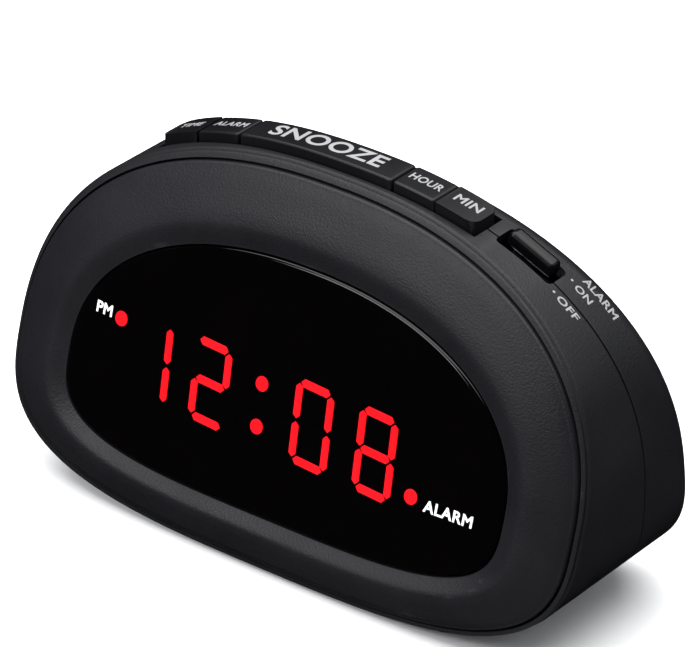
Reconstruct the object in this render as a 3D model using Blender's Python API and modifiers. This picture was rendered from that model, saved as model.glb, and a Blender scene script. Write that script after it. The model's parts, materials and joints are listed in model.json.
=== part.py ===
"""Bedside LED alarm clock: a D-shaped case with a leaning front, five top buttons and a slide switch.

Lengths below are millimetres; every mesh is scaled to metres as it is made.
X runs to the clock's right, Y to its back and Z up. The origin is under the middle of the case, on the floor.
"""

import math

import bmesh
import bpy
from mathutils import Matrix, Vector

MM = 0.001
GAP = 0.3

# Case section, seen from the front: two half superellipses that meet at CASE_MIDDLE.
CASE_HALF_WIDTH = 64.8
CASE_FLOOR = 1.0
CASE_MIDDLE = 27.0
CASE_UP = 45.3
CASE_DOWN = 26.0
UPPER_POWER = 2.3
LOWER_POWER = 3.15
WALL = 2.0
SEGMENTS = 64

# Bezel section, slightly smaller than the case and set low, so the rim beyond it is a crescent.
BEZEL_HALF_WIDTH = 63.1
BEZEL_UP = 43.3
BEZEL_DOWN = 25.1

# Lens section.
LENS_HALF_WIDTH = 49.75
LENS_MIDDLE = 27.5
LENS_UP = 28.9
LENS_DOWN = 16.3
LENS_UPPER_POWER = 2.2
LENS_LOWER_POWER = 3.5

# Depths, measured back from the front edge of the case floor.
FRONT_LEAN = math.radians(17.0)
BACK_LEAN = math.radians(8.0)
PARTING = 27.0
BACK_AT_FLOOR = 45.6
BACK_CORNER = 4.0
DEPTH_MIDDLE = 22.10

# Button row: the edges between the five buttons, from the clock's left to its right.
BUTTON_EDGES = (-42.6, -33.7, -23.9, 11.0, 20.5, 29.2)
BUTTON_NAMES = ("time_button", "alarm_button", "snooze_button", "hour_button", "minute_button")
BUTTON_FRONT = 23.4
BUTTON_BACK = 30.9
BUTTON_PROUD = 2.0
BUTTON_SKIRT = 1.2
END_CORNER = 2.0
BUTTON_SEAM = 0.35
BUTTON_TRAVEL = 0.7
BUTTON_STEM = 27.4
KEY_BOARD_TOP = 57.6
TACT_HEIGHT = 4.2

# Slide switch on the right shoulder.
SWITCH_LEFT = 32.0
SWITCH_RIGHT = 44.0
SWITCH_FRONT = 25.6
SWITCH_BACK = 31.2
KNOB_LENGTH = 10.5
KNOB_CENTRE = -0.25
KNOB_DEPTH = 3.1
KNOB_PROUD = 1.8

# Display: with its bars' thickness, a digit stands 15.2 high on the leaning plane.
DIGIT_HEIGHT = 14.2
DIGIT_HALF_WIDTH = 3.6
DIGIT_SLANT = -0.08
DIGIT_CENTRES = (-30.8, -16.9, 6.7, 21.2)
DIGIT_LEVEL = 29.7
DISPLAY_CENTRE = -5.0
DOT_RADIUS = 1.4
DOTS = ((-5.6, 33.5), (-5.1, 25.6), (-39.2, 35.0), (30.3, 24.2))

# Battery bay on the back plane.
BAY_CENTRE = (-18.0, 27.0)
BAY_SIZE = (48.0, 23.0, 11.5)
DOOR_SIZE = (50.0, 25.6, 1.6)

BOSS_FRONT = 18.8
CASE_SCREWS = ((-55.0, 20.0), (55.0, 20.0), (-47.5, 54.0), (47.5, 54.0))
FEET = ((-37.0, 7.0), (37.0, 7.0), (-37.0, 34.0), (37.0, 34.0))


def clear_scene():
    for obj in list(bpy.data.objects):
        bpy.data.objects.remove(obj, do_unlink=True)
    for collection in list(bpy.data.collections):
        bpy.data.collections.remove(collection)


def new_collection(name):
    collection = bpy.data.collections.new(name)
    bpy.context.scene.collection.children.link(collection)
    return collection


clear_scene()
CLOCK = new_collection("alarm_clock")
CUTTERS = new_collection("cutters")


def material(name, colour, roughness, metallic=0.0):
    found = bpy.data.materials.get(name)
    if found:
        return found
    made = bpy.data.materials.new(name)
    made.use_nodes = True
    shader = made.node_tree.nodes["Principled BSDF"]
    shader.inputs["Base Color"].default_value = (*colour, 1.0)
    shader.inputs["Roughness"].default_value = roughness
    shader.inputs["Metallic"].default_value = metallic
    return made


def case_plastic():
    return material("case_plastic", (0.028, 0.028, 0.032), 0.5)


def bezel_plastic():
    return material("bezel_plastic", (0.03, 0.03, 0.034), 0.55)


def button_plastic():
    return material("button_plastic", (0.02, 0.02, 0.022), 0.42)


def knob_plastic():
    return material("knob_plastic", (0.01, 0.01, 0.011), 0.2)


def lens_plastic():
    return material("lens_plastic", (0.004, 0.004, 0.005), 0.05)


def foot_rubber():
    return material("foot_rubber", (0.02, 0.02, 0.02), 0.85)


def board_laminate():
    return material("board_laminate", (0.05, 0.16, 0.07), 0.5)


def steel():
    return material("steel", (0.55, 0.55, 0.56), 0.3, 1.0)


def part_plastic(name, colour):
    return material(name, colour, 0.45)


# Frames on the leaning planes: u along X, v up the plane, w out of the case.


def plane_frame(origin, u, v, w):
    frame = Matrix.Identity(4)
    for column, axis in enumerate((u, v, w)):
        for row in range(3):
            frame[row][column] = axis[row]
        frame[column][3] = origin[column] * MM
    return frame


def front_frame():
    s, c = math.sin(FRONT_LEAN), math.cos(FRONT_LEAN)
    return plane_frame((0, -DEPTH_MIDDLE, CASE_FLOOR), (1, 0, 0), (0, s, c), (0, -c, s))


def back_frame():
    s, c = math.sin(BACK_LEAN), math.cos(BACK_LEAN)
    origin = (0, BACK_AT_FLOOR - DEPTH_MIDDLE, CASE_FLOOR)
    return plane_frame(origin, (-1, 0, 0), (0, -s, c), (0, c, s))


def depth(distance):
    """World Y of a depth measured back from the front edge of the case floor."""
    return distance - DEPTH_MIDDLE


def front_depth(z, proud):
    return depth((z - CASE_FLOOR) * math.tan(FRONT_LEAN) - proud / math.cos(FRONT_LEAN))


def back_depth(z, inside=0.0):
    return depth(BACK_AT_FLOOR - (z - CASE_FLOOR) * math.tan(BACK_LEAN) - inside)


# Outlines: lists of (x, z) that share one angle rule, so any two of them can be lofted together.


def superellipse(half_width, middle, up, upper_power, down, lower_power):
    points = []
    for i in range(SEGMENTS):
        angle = 2 * math.pi * i / SEGMENTS
        c, s = math.cos(angle), math.sin(angle)
        power, height = (upper_power, up) if s >= 0 else (lower_power, down)
        x = half_width * math.copysign(abs(c) ** (2 / power), c)
        z = middle + height * math.copysign(abs(s) ** (2 / power), s)
        points.append((x, z))
    return points


def case_outline(inset):
    sizes = (CASE_HALF_WIDTH - inset, CASE_MIDDLE, CASE_UP - inset)
    return superellipse(*sizes, UPPER_POWER, CASE_DOWN - inset, LOWER_POWER)


def bezel_outline(inset):
    sizes = (BEZEL_HALF_WIDTH - inset, CASE_MIDDLE, BEZEL_UP - inset)
    return superellipse(*sizes, UPPER_POWER, BEZEL_DOWN - inset, LOWER_POWER)


def lens_outline(inset):
    sizes = (LENS_HALF_WIDTH - inset, LENS_MIDDLE, LENS_UP - inset)
    return superellipse(*sizes, LENS_UPPER_POWER, LENS_DOWN - inset, LENS_LOWER_POWER)


def mixed_outline(share):
    """Between the bezel's edge and the lens: share runs from 0 to 1."""
    pairs = zip(bezel_outline(0.5), lens_outline(-GAP))
    return [tuple(a + (b - a) * share for a, b in zip(*pair)) for pair in pairs]


def case_top(x, proud=0.0):
    """Height of the case's arch at x, or of an arch standing proud of it."""
    across = min(abs(x) / (CASE_HALF_WIDTH + proud), 1.0)
    return CASE_MIDDLE + (CASE_UP + proud) * (1 - across**UPPER_POWER) ** (1 / UPPER_POWER)


def on_front(outline, proud):
    return [Vector((x, front_depth(z, proud), z)) for x, z in outline]


def upright(outline, distance):
    return [Vector((x, depth(distance), z)) for x, z in outline]


def on_back(outline, inside):
    return [Vector((x, back_depth(z, inside), z)) for x, z in outline]


# Makers.


def add_object(name, mesh, finish, collection=None):
    obj = bpy.data.objects.new(name, mesh)
    (collection or CLOCK).objects.link(obj)
    if finish:
        mesh.materials.append(finish)
        mesh.shade_smooth()
        mesh.set_sharp_from_angle(angle=math.radians(35))
    else:
        obj.hide_render = True
        obj.display_type = "WIRE"
    return obj


def mesh_from(bm, name):
    bmesh.ops.recalc_face_normals(bm, faces=bm.faces)
    mesh = bpy.data.meshes.new(name)
    bm.to_mesh(mesh)
    bm.free()
    return mesh


def loft(name, rings, finish, ends="joined", collection=None):
    """A body through rings of points: its ends are capped, or joined so that it closes on itself."""
    bm = bmesh.new()
    loops = [[bm.verts.new(p * MM) for p in ring] for ring in rings]
    pairs = list(zip(loops, loops[1:]))
    if ends == "joined":
        pairs.append((loops[-1], loops[0]))
    else:
        bm.faces.new(loops[0])
        bm.faces.new(loops[-1])
    for low, high in pairs:
        for i in range(len(low)):
            j = (i + 1) % len(low)
            bm.faces.new((low[i], low[j], high[j], high[i]))
    return add_object(name, mesh_from(bm, name), finish, collection)


def prism(name, outline, front, back, finish, collection=None):
    """An (x, z) outline carried along Y between two depths. Its origin is at the middle of its box."""
    low = Vector((min(p[0] for p in outline), depth(front), min(p[1] for p in outline)))
    high = Vector((max(p[0] for p in outline), depth(back), max(p[1] for p in outline)))
    middle = (low + high) / 2
    rings = [[p - middle for p in upright(outline, distance)] for distance in (front, back)]
    obj = loft(name, rings, finish, "capped", collection)
    obj.location = middle * MM
    return obj


def box(name, size, centre, finish, frame=Matrix.Identity(4), collection=None):
    bm = bmesh.new()
    bmesh.ops.create_cube(bm, size=1.0)
    bmesh.ops.scale(bm, vec=Vector(size) * MM, verts=bm.verts)
    obj = add_object(name, mesh_from(bm, name), finish, collection)
    obj.matrix_world = frame @ Matrix.Translation(Vector(centre) * MM)
    return obj


def cylinder(name, radius, length, centre, finish, frame=Matrix.Identity(4), collection=None, sides=24):
    """A cylinder along the frame's third axis."""
    bm = bmesh.new()
    bmesh.ops.create_cone(
        bm, cap_ends=True, segments=sides, radius1=radius * MM, radius2=radius * MM, depth=length * MM
    )
    obj = add_object(name, mesh_from(bm, name), finish, collection)
    obj.matrix_world = frame @ Matrix.Translation(Vector(centre) * MM)
    return obj


def along_depth():
    """A frame at the origin whose third axis runs from the back to the front, and whose second is Z."""
    return plane_frame((0, 0, 0), (1, 0, 0), (0, 0, 1), (0, -1, 0))


def boolean(target, tool, operation):
    modifier = target.modifiers.new(tool.name, "BOOLEAN")
    modifier.object = tool
    modifier.operation = operation
    modifier.solver = "EXACT"


def cut(target, tool):
    boolean(target, tool, "DIFFERENCE")


def join(target, tool):
    boolean(target, tool, "UNION")


def bevel(obj, width, segments=2):
    modifier = obj.modifiers.new("rounded_edges", "BEVEL")
    modifier.width = width * MM
    modifier.segments = segments
    modifier.limit_method = "ANGLE"
    modifier.angle_limit = math.radians(40)


def cutter_box(name, size, centre, frame=Matrix.Identity(4)):
    return box(name, size, centre, None, frame, CUTTERS)


def cutter_cylinder(name, radius, length, centre, frame=Matrix.Identity(4), sides=20):
    return cylinder(name, radius, length, centre, None, frame, CUTTERS, sides)


# Case.


def arch_strip(left, right, high, low, steps):
    """A strip of the case's arch between two x values, from high above the case to low inside it."""
    spots = [left + (right - left) * i / steps for i in range(steps + 1)]
    top = [(x, case_top(x, high)) for x in spots]
    bottom = [(x, case_top(x, -low)) for x in reversed(spots)]
    return top + bottom


def button_window():
    left, right = BUTTON_EDGES[0] - BUTTON_SEAM, BUTTON_EDGES[-1] + BUTTON_SEAM
    outline = arch_strip(left, right, 4.0, WALL + 0.8, 14)
    return prism("button_window", outline, BUTTON_FRONT - 0.5, BUTTON_BACK + 0.6, None, CUTTERS)


def shoulder_frame():
    """On the case's right shoulder at the slide switch: u down the slope, v to the back, w out."""
    left, right = case_top(SWITCH_LEFT), case_top(SWITCH_RIGHT)
    slope = math.atan2(left - right, SWITCH_RIGHT - SWITCH_LEFT)
    origin = ((SWITCH_LEFT + SWITCH_RIGHT) / 2, depth((SWITCH_FRONT + SWITCH_BACK) / 2), (left + right) / 2)
    u, w = (math.cos(slope), 0, -math.sin(slope)), (math.sin(slope), 0, math.cos(slope))
    return plane_frame(origin, u, (0, 1, 0), w)


def switch_length():
    return math.hypot(SWITCH_RIGHT - SWITCH_LEFT, case_top(SWITCH_LEFT) - case_top(SWITCH_RIGHT))


def switch_slot():
    size = (switch_length(), SWITCH_BACK - SWITCH_FRONT, 9.0)
    slot = cutter_box("switch_slot", size, (0, 0, 0), shoulder_frame())
    bevel(slot, 0.9)
    return slot


def tongue_rings(distance, lip):
    """Where the two half cases meet, the back one carries a tongue that enters a rebate in the front one."""
    return upright(case_outline(WALL), distance), upright(case_outline(lip), distance)


def front_housing():
    seam = PARTING - GAP / 2
    rings = [
        upright(case_outline(0.0), seam),
        on_front(case_outline(0.0), -0.5),
        on_front(case_outline(0.15), -0.15),
        on_front(case_outline(0.5), 0.0),
        on_front(bezel_outline(-0.55), 0.75),
        on_front(bezel_outline(-0.35), 0.6),
        on_front(bezel_outline(-0.35), -1.0),
        on_front(bezel_outline(3.6), -1.0),
        on_front(bezel_outline(3.6), -2.8),
        on_front(case_outline(WALL + 0.4), -2.8),
        upright(case_outline(WALL), seam - 2.0),
        upright(case_outline(0.9), seam - 2.0),
        upright(case_outline(0.9), seam),
    ]
    housing = loft("front_housing", rings, case_plastic())
    for index, (x, z) in enumerate(CASE_SCREWS, 1):
        side = math.copysign(1, x)
        reach = 9.5 if z < CASE_MIDDLE else 6.4
        rib_centre = (x + side * reach / 2, depth(BOSS_FRONT + 3.0), z)
        rib = box(f"boss_rib_{index}", (reach, 6.0, 1.8), rib_centre, None, collection=CUTTERS)
        boss = cutter_cylinder(f"boss_{index}", 3.0, 7.4, (x, z, -depth(BOSS_FRONT + 3.7)), along_depth())
        bore = cutter_cylinder(
            f"boss_bore_{index}", 1.5, 8.0, (x, z, -depth(BOSS_FRONT + 6.2)), along_depth(), 12
        )
        join(housing, rib)
        join(housing, boss)
        cut(housing, bore)
    return housing


def front_bezel():
    face = [(0.15, 2.05), (0.35, 2.95), (0.52, 3.55), (0.66, 3.85), (0.76, 3.75), (0.88, 3.2)]
    rings = [
        on_front(bezel_outline(0.0), -1.0 + GAP),
        on_front(bezel_outline(0.0), 0.95),
        on_front(bezel_outline(0.15), 1.2),
        on_front(bezel_outline(0.5), 1.4),
        *[on_front(mixed_outline(share), proud) for share, proud in face],
        on_front(lens_outline(-GAP), 2.75),
        on_front(lens_outline(-GAP), 1.1),
        on_front(lens_outline(2.0), 1.1),
        on_front(lens_outline(2.0), -1.0 + GAP),
        on_front(lens_outline(-1.6), -1.0 + GAP),
        on_front(lens_outline(-1.9), 0.9),
        on_front(bezel_outline(4.8), 0.3),
        on_front(bezel_outline(4.5), -1.0 + GAP),
    ]
    return loft("front_bezel", rings, bezel_plastic())


def display_lens():
    rings = [
        on_front(lens_outline(0.0), 1.1 + GAP),
        on_front(lens_outline(0.0), 2.6),
        on_front(lens_outline(0.25), 2.9),
        on_front(lens_outline(0.8), 3.05),
    ]
    return loft("display_lens", rings, lens_plastic(), "capped")


def rear_housing():
    seam = PARTING + GAP / 2
    outer, inner = [], []
    steps = 4
    for i in range(steps + 1):
        angle = math.pi / 2 * i / steps
        inset = BACK_CORNER * (1 - math.cos(angle))
        outer.append(on_back(case_outline(inset), BACK_CORNER * (1 - math.sin(angle))))
    for inset, inside in ((BACK_CORNER, WALL), (WALL + 0.6, WALL + 0.6), (WALL, BACK_CORNER)):
        inner.append(on_back(case_outline(inset + 0.01), inside))
    rings = [
        *reversed(outer),
        upright(case_outline(0.0), seam),
        upright(case_outline(1.2), seam),
        upright(case_outline(1.2), seam - 1.8),
        upright(case_outline(WALL), seam - 1.8),
        *reversed(inner),
    ]
    housing = loft("rear_housing", rings, case_plastic(), "capped")
    back = back_frame()
    u, v = -BAY_CENTRE[0], BAY_CENTRE[1]
    width, height, bay_depth = BAY_SIZE
    shell = box("bay_shell", (width + 5.0, height + 5.4, bay_depth + 1.0),
                (u, v, -(bay_depth + 1.0) / 2 - 0.6), None, back, CUTTERS)
    join(housing, shell)
    for index, (x, z) in enumerate(CASE_SCREWS, 1):
        length = 14.0 if z < CASE_MIDDLE else 9.6
        middle = PARTING + GAP + length / 2
        pillar = cutter_cylinder(f"pillar_{index}", 3.9, length, (x, z, -depth(middle)), along_depth())
        join(housing, pillar)
    cavity = cutter_box("bay_cavity", (width, height, bay_depth + 2.0), (u, v, -bay_depth / 2 + 1.0), back)
    cut(housing, cavity)
    rebate = (DOOR_SIZE[0] + 2 * GAP, DOOR_SIZE[1] + 2 * GAP, DOOR_SIZE[2] + GAP + 2.0)
    cut(housing, cutter_box("door_rebate", rebate, (u, v, 1.0 - (DOOR_SIZE[2] + GAP) / 2), back))
    for index, (x, z) in enumerate(CASE_SCREWS, 1):
        hole = cutter_cylinder(f"screw_hole_{index}", 1.6, 30.0, (x, z, -depth(40.0)), along_depth(), 12)
        cut(housing, hole)
        cut(housing, cutter_cylinder(f"screw_recess_{index}", 2.9, 20.0, (x, z, -depth(42.0)), along_depth()))
    for index in range(5):
        centre = (-24.0, 41.0 + 2.6 * index, 0.0)
        cut(housing, cutter_box(f"sound_slot_{index + 1}", (15.0, 1.3, 8.0), centre, back))
    cut(housing, cutter_cylinder("inlet_hole", 3.2, 12.0, (-50.5, 10.5, 0.0), back))
    return housing


def feet(housings):
    for index, (x, distance) in enumerate(FEET, 1):
        recess = cutter_cylinder(f"foot_recess_{index}", 4.3, 6.4, (x, depth(distance), 0.2))
        cut(housings[0] if distance < PARTING else housings[1], recess)
        cylinder(f"rubber_foot_{index}", 4.0, 3.1, (x, depth(distance), 1.55), foot_rubber())


def case_screws():
    for index, (x, z) in enumerate(CASE_SCREWS, 1):
        head = cylinder(
            f"case_screw_{index}", 2.5, 1.8, (x, z, -depth(33.4)), steel(), along_depth(), sides=16
        )
        shank = cutter_cylinder(f"screw_shank_{index}", 1.2, 11.2, (x, z, -depth(27.2)), along_depth(), 12)
        join(head, shank)
        cross = cutter_box(f"screw_drive_{index}", (3.2, 0.7, 1.6), (x, z, -depth(34.4)), along_depth())
        cut(head, cross)


# Buttons and what they press.


def end_plan(name, left, right):
    """Rounds an end button's two outer corners with a block whose inner side runs past the button."""
    outer, inner = (left, right + 4.0) if left < 0 else (right, left - 4.0)
    middle = (outer + inner) / 2
    size = (abs(outer - inner), BUTTON_BACK - BUTTON_FRONT, 30.0)
    plan = cutter_box(
        f"{name}_plan", size, (middle, depth((BUTTON_FRONT + BUTTON_BACK) / 2), case_top(middle))
    )
    bm = bmesh.new()
    bm.from_mesh(plan.data)
    upright_edges = [e for e in bm.edges if abs(e.verts[0].co.z - e.verts[1].co.z) > 10 * MM]
    bmesh.ops.bevel(bm, geom=upright_edges, offset=END_CORNER * MM, segments=4, profile=0.5, affect="EDGES")
    bm.to_mesh(plan.data)
    bm.free()
    return plan


def buttons():
    made = []
    for index, name in enumerate(BUTTON_NAMES):
        left, right = BUTTON_EDGES[index], BUTTON_EDGES[index + 1]
        left += BUTTON_SEAM / 2 if index else 0.0
        right -= BUTTON_SEAM / 2 if index < len(BUTTON_NAMES) - 1 else 0.0
        steps = 10 if right - left > 20 else 4
        outline = arch_strip(left, right, BUTTON_PROUD, BUTTON_SKIRT, steps)
        cap = prism(name, outline, BUTTON_FRONT, BUTTON_BACK, button_plastic())
        if index in (0, len(BUTTON_NAMES) - 1):
            boolean(cap, end_plan(name, left, right), "INTERSECT")
        bevel(cap, 0.45)
        middle = (left + right) / 2
        foot = KEY_BOARD_TOP + GAP + TACT_HEIGHT + BUTTON_TRAVEL + 0.05
        head = case_top(middle) - 0.6
        stem = box(f"{name}_stem", (2.4, 2.4, head - foot), (middle, depth(BUTTON_STEM), (head + foot) / 2),
                   None, collection=CUTTERS)
        join(cap, stem)
        made.append(cap)
    return made



def key_board():
    left, right = BUTTON_EDGES[0] + 0.2, BUTTON_EDGES[-1] + 0.5
    size = (right - left, 7.6, 1.5)
    box("key_board", size, ((left + right) / 2, depth(BUTTON_STEM), KEY_BOARD_TOP - 0.75), board_laminate())
    for index, name in enumerate(BUTTON_NAMES):
        middle = (BUTTON_EDGES[index] + BUTTON_EDGES[index + 1]) / 2
        base = KEY_BOARD_TOP + GAP
        body_height = TACT_HEIGHT - 1.0
        place = (middle, depth(BUTTON_STEM), base + body_height / 2)
        nylon = part_plastic("switch_plastic", (0.05,) * 3)
        switch = box(name.replace("button", "tact_switch"), (6.0, 6.0, body_height), place, nylon)
        tip = (middle, depth(BUTTON_STEM), base + body_height + 0.3)
        plunger = cutter_cylinder(f"plunger_{index + 1}", 1.6, 1.4, tip, sides=12)
        join(switch, plunger)


def slide_switch():
    frame = shoulder_frame()
    travel_end = (SWITCH_BACK - SWITCH_FRONT) / 2 - 0.15 - KNOB_DEPTH / 2
    knob = box("alarm_switch_knob", (KNOB_LENGTH, KNOB_DEPTH, KNOB_PROUD + 1.4),
               (KNOB_CENTRE, travel_end, (KNOB_PROUD - 1.4) / 2), knob_plastic(), frame)
    bevel(knob, 0.9, 3)
    stem = cutter_box("knob_stem", (2.4, 1.6, 4.0), (KNOB_CENTRE, travel_end, -3.2), frame)
    join(knob, stem)
    shell = box("slide_switch_shell", (10.0, 6.6, 3.4), (0.3, 0.0, -6.1), steel(), frame)
    cut(shell, cutter_box("shell_slot", (4.6, 4.8, 3.0), (KNOB_CENTRE, 0.0, -4.6), frame))
    box("slide_switch_board", (14.0, 7.4, 1.4), (0.3, 0.0, -8.9), board_laminate(), frame)


# Display.


def hexagon_bar(bm, start, end, half_thickness, levels, frame):
    """One light bar as a six-sided prism between two levels of the frame's w direction."""
    a, b = Vector(start), Vector(end)
    along = (b - a).normalized()
    side = Vector((-along.y, along.x)) * half_thickness
    a, b = a + along * 0.35, b - along * 0.35
    tip = along * half_thickness
    outline = [a, a + tip - side, b - tip - side, b, b - tip + side, a + tip + side]
    rings = [[bm.verts.new(frame @ Vector((p.x * MM, p.y * MM, w * MM))) for p in outline] for w in levels]
    bm.faces.new(rings[0])
    bm.faces.new(rings[1])
    for i in range(6):
        j = (i + 1) % 6
        bm.faces.new((rings[0][i], rings[0][j], rings[1][j], rings[1][i]))


def digit_bars(centre, letters):
    """The end points of a seven-segment digit's bars on the leaning plane."""
    half, step = DIGIT_HALF_WIDTH, DIGIT_HEIGHT / 2
    corners = {}
    for row in (-1, 0, 1):
        for side in (-1, 1):
            corners[side, row] = (centre + side * half + row * step * DIGIT_SLANT, DIGIT_LEVEL + row * step)
    bars = {
        "a": ((-1, 1), (1, 1)), "b": ((1, 1), (1, 0)), "c": ((1, 0), (1, -1)), "d": ((-1, -1), (1, -1)),
        "e": ((-1, 0), (-1, -1)), "f": ((-1, 1), (-1, 0)), "g": ((-1, 0), (1, 0)),
    }
    return [(corners[bars[letter][0]], corners[bars[letter][1]]) for letter in letters]


def light_wells():
    """The wells that guide each lamp's light to the front of the display."""
    frame = front_frame()
    bm = bmesh.new()
    for index, centre in enumerate(DIGIT_CENTRES):
        for start, end in digit_bars(centre, "bc" if index == 0 else "abcdefg"):
            hexagon_bar(bm, start, end, 0.8, (-12.0, 0.0), frame)
    for u, v in DOTS:
        dot = bmesh.ops.create_cone(
            bm, cap_ends=True, segments=14, radius1=DOT_RADIUS * MM, radius2=DOT_RADIUS * MM, depth=12.0 * MM
        )
        bmesh.ops.transform(
            bm, matrix=frame @ Matrix.Translation(Vector((u, v, -6.0)) * MM), verts=dot["verts"]
        )
    return add_object("light_wells", mesh_from(bm, "light_wells"), None, CUTTERS)


def display():
    frame = front_frame()
    middle = (DISPLAY_CENTRE, DIGIT_LEVEL)
    reflector = box("display_reflector", (78.0, 20.0, 6.6), (*middle, -6.0),
                    part_plastic("reflector_plastic", (0.6, 0.6, 0.58)), frame)
    cut(reflector, light_wells())
    film = part_plastic("diffuser_film", (0.35, 0.01, 0.01))
    box("display_diffuser", (78.0, 20.0, 0.8), (*middle, -1.9), film, frame)
    box("display_board", (82.0, 23.0, 1.5), (*middle, -10.4), board_laminate(), frame)


# Electronics.


def main_board():
    box("main_board", (62.0, 1.6, 40.0), (-13.5, depth(24.4), 30.5), board_laminate())
    box("clock_chip", (15.0, 3.2, 7.6), (-20.0, depth(21.7), 16.0), part_plastic("chip_plastic", (0.02,) * 3))
    across = along_depth()
    sleeve = part_plastic("capacitor_sleeve", (0.02, 0.03, 0.08))
    cylinder("smoothing_capacitor", 4.0, 4.8, (2.0, 15.6, -depth(20.8)), sleeve, across, sides=20)
    cylinder("backup_capacitor", 2.5, 6.0, (-34.0, 15.0, -depth(20.3)), sleeve, across, sides=16)
    cylinder(
        "buzzer", 7.5, 4.6, (-24.0, 46.2, -5.0), part_plastic("buzzer_plastic", (0.03,) * 3), back_frame()
    )


def transformer():
    laminations = material("core_steel", (0.25, 0.25, 0.26), 0.5, 0.8)
    centre = Vector((35.5, depth(31.2), 19.0))
    core = box("transformer_core", (25.0, 10.0, 21.0), centre, laminations)
    for side in (-1, 1):
        window = cutter_box(
            f"core_window_{(side + 3) // 2}", (4.6, 12.0, 13.0), centre + Vector((side * 6.3, 0, 0))
        )
        cut(core, window)
    coil = box("transformer_coil", (15.6, 17.4, 12.2), centre, part_plastic("coil_tape", (0.5, 0.38, 0.05)))
    cut(coil, cutter_box("coil_bore", (8.6, 10.6, 14.0), centre))


# Battery bay.


def battery_door():
    """Its origin is on the hinge line, in the middle of its rounded lower edge."""
    width, height, thickness = DOOR_SIZE
    radius = thickness / 2
    frame = back_frame()
    hinge = Vector((-BAY_CENTRE[0], BAY_CENTRE[1] - height / 2 + radius, -radius))
    outline = []
    arc = 8
    for i in range(arc + 1):
        angle = math.pi / 2 + math.pi * i / arc
        outline.append((radius * math.cos(angle), radius * math.sin(angle)))
    outline = [(height - radius, radius), *outline, (height - radius, -radius)]
    rings = [[Vector((u, v, w)) for v, w in outline] for u in (-width / 2, width / 2)]
    door = loft("battery_door", rings, case_plastic(), "capped")
    door.matrix_world = frame @ Matrix.Translation(hinge * MM)
    grip = cutter_box("door_grip", (12.0, 1.2, 1.0), (hinge.x, hinge.y + height - 6.0, 0.1), frame)
    cut(door, grip)
    second = cutter_box("door_grip_2", (12.0, 1.2, 1.0), (hinge.x, hinge.y + height - 8.6, 0.1), frame)
    cut(door, second)


def coil_points(radius, length, turns, per_turn):
    points = []
    for i in range(int(turns * per_turn) + 1):
        angle = 2 * math.pi * i / per_turn
        along = length * i / (turns * per_turn)
        points.append((along, radius * math.cos(angle), radius * math.sin(angle)))
    return points


def battery_contacts():
    """A plate and a spring at each end of the bay, because the two cells lie opposite ways."""
    frame = back_frame()
    u, v = -BAY_CENTRE[0], BAY_CENTRE[1]
    width, _, bay_depth = BAY_SIZE
    for index, side in enumerate((-1, 1), 1):
        box(f"battery_contact_{index}", (0.5, 9.6, 8.6),
            (u + side * (width / 2 - 0.6), v + side * 5.6, -bay_depth / 2 - 1.0), steel(), frame)
        curve = bpy.data.curves.new(f"battery_spring_{index}", "CURVE")
        curve.dimensions = "3D"
        curve.bevel_depth = 0.3 * MM
        curve.bevel_resolution = 1
        curve.use_fill_caps = True
        spline = curve.splines.new("POLY")
        points = coil_points(2.6, 3.4, 3, 12)
        spline.points.add(len(points) - 1)
        for point, (along, y, z) in zip(spline.points, points):
            point.co = (along * MM, y * MM, z * MM, 1.0)
        spring = bpy.data.objects.new(f"battery_spring_{index}", curve)
        CLOCK.objects.link(spring)
        curve.materials.append(steel())
        start = Vector((u + side * (width / 2 - 0.7), v - side * 5.6, -bay_depth / 2)) * MM
        turn = Matrix.Rotation(math.pi if side > 0 else 0.0, 4, "Z")
        spring.matrix_world = frame @ Matrix.Translation(start) @ turn


def cord_inlet():
    bush = cylinder("cord_inlet_bush", 2.9, 5.0, (-50.5, 10.5, -1.6), foot_rubber(), back_frame(), sides=20)
    flange = cutter_cylinder("bush_flange", 4.3, 1.1, (-50.5, 10.5, GAP + 0.55), back_frame())
    join(bush, flange)
    cut(bush, cutter_cylinder("bush_bore", 1.9, 14.0, (-50.5, 10.5, 0.0), back_frame(), 16))


def build():
    front, back = front_housing(), rear_housing()
    for opening in (button_window(), switch_slot()):
        cut(front, opening)
        cut(back, opening)
    feet((front, back))
    front_bezel()
    display_lens()
    case_screws()
    buttons()
    key_board()
    slide_switch()
    display()
    main_board()
    transformer()
    battery_door()
    battery_contacts()
    cord_inlet()


build()
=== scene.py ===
"""Looks for the arched LED alarm clock: moulded shells, smoked lens, lit digits, printed labels, studio."""

import json
import math

import bmesh
import bpy
from mathutils import Matrix, Vector


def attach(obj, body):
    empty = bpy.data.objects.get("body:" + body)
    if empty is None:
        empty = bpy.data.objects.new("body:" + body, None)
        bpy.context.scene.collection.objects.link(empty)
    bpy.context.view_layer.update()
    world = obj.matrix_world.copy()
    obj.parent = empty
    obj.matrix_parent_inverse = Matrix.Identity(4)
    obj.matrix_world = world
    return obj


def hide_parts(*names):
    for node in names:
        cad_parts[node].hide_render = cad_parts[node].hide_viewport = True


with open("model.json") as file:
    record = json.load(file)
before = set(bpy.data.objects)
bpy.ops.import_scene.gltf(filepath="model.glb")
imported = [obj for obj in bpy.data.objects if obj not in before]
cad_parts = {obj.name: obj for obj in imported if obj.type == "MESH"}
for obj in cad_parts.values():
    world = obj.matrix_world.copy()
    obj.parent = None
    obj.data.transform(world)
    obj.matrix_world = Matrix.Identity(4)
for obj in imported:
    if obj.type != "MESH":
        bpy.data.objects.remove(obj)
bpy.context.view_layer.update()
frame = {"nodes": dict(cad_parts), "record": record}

MM = 0.001
GAP = 0.3
SEGMENTS = 256

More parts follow.
